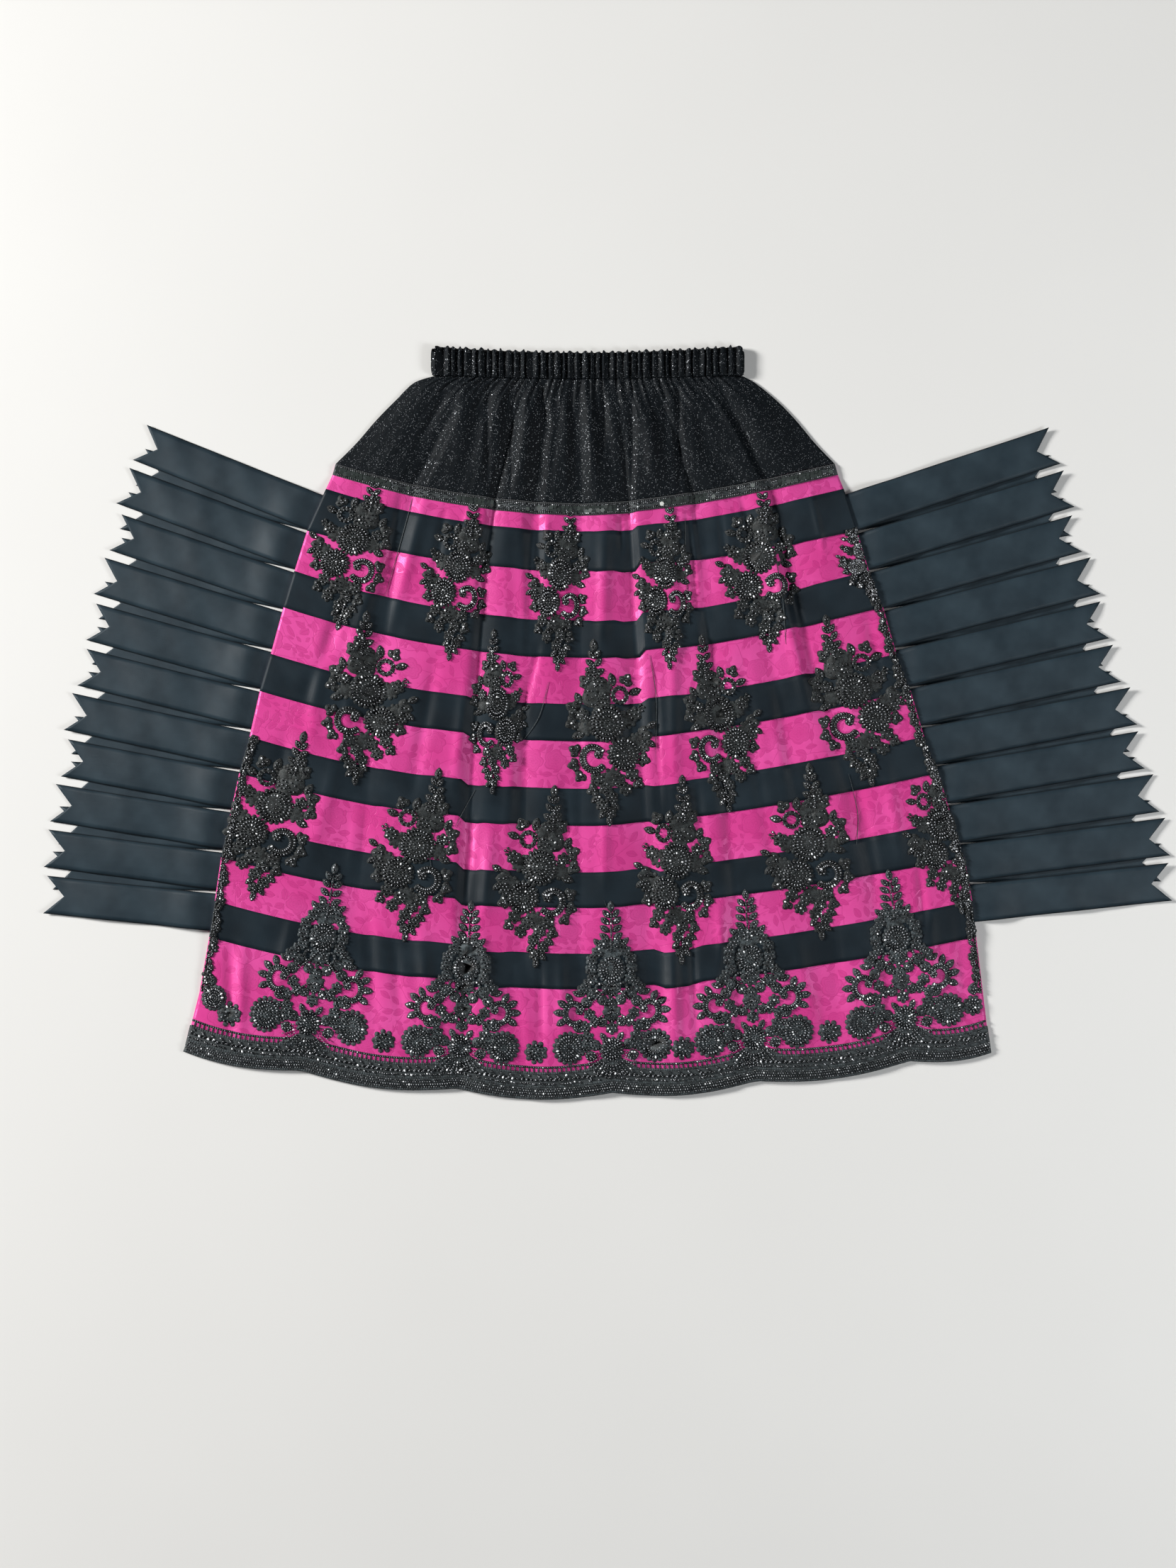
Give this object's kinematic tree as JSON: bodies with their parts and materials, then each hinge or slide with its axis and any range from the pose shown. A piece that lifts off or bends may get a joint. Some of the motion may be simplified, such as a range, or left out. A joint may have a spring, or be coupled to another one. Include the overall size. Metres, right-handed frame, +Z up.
{
  "type": "ribbon skirt laid flat",
  "caption": "Long gathered skirt laid flat, with horizontal ribbon stripes, beaded lace sprays, a lace hem and ribbon ends fanned out at both side seams.",
  "frame": {"origin": "on the surface that the skirt lies on, under the back panel, half way down the skirt on the line down the middle of the front", "axes": "+Z up from the surface, out of the skirt's front; +Y towards the waistband; +X across the skirt, along the fanned ribbon ends"},
  "size_m": [1.4317, 0.9557, 0.0158],
  "materials": {
    "pink_satin": "satin brocade with roses woven tone on tone",
    "black_satin": "satin ribbon",
    "slate_satin": "satin ribbon",
    "glitter_knit": "black knit with fine silver glitter",
    "black_lace": "corded lace covered with glass beads",
    "sequin_trim": "braid with sequins"
  },
  "bodies": {
    "root": {"lace_border_back": "black_lace", "lace_border_front": "black_lace", "lace_spray_01": "black_lace", "lace_spray_02": "black_lace", "lace_spray_03": "black_lace", "lace_spray_04": "black_lace", "lace_spray_05": "black_lace", "lace_spray_06": "black_lace", "lace_spray_07": "black_lace", "lace_spray_08": "black_lace", "lace_spray_09": "black_lace", "lace_spray_10": "black_lace", "lace_spray_11": "black_lace", "lace_spray_12": "black_lace", "lace_spray_13": "black_lace", "lace_spray_14": "black_lace", "lace_spray_15": "black_lace", "lace_spray_16": "black_lace", "lace_spray_17": "black_lace", "ribbon_1": "black_satin", "ribbon_2": "black_satin", "ribbon_3": "black_satin", "ribbon_4": "black_satin", "ribbon_5": "black_satin", "ribbon_6": "black_satin", "ribbon_end_left_01": "slate_satin", "ribbon_end_left_02": "slate_satin", "ribbon_end_left_03": "slate_satin", "ribbon_end_left_04": "slate_satin", "ribbon_end_left_05": "slate_satin", "ribbon_end_left_06": "slate_satin", "ribbon_end_left_07": "slate_satin", "ribbon_end_left_08": "slate_satin", "ribbon_end_left_09": "slate_satin", "ribbon_end_left_10": "slate_satin", "ribbon_end_left_11": "slate_satin", "ribbon_end_right_01": "slate_satin", "ribbon_end_right_02": "slate_satin", "ribbon_end_right_03": "slate_satin", "ribbon_end_right_04": "slate_satin", "ribbon_end_right_05": "slate_satin", "ribbon_end_right_06": "slate_satin", "ribbon_end_right_07": "slate_satin", "ribbon_end_right_08": "slate_satin", "ribbon_end_right_09": "slate_satin", "ribbon_end_right_10": "slate_satin", "ribbon_end_right_11": "slate_satin", "satin_back": "pink_satin", "satin_front": "pink_satin", "sequin_trim": "sequin_trim", "under_ribbons_left": "slate_satin", "under_ribbons_right": "slate_satin", "waistband": "glitter_knit", "yoke_back": "glitter_knit", "yoke_front": "glitter_knit"}
  },
  "joints": []
}
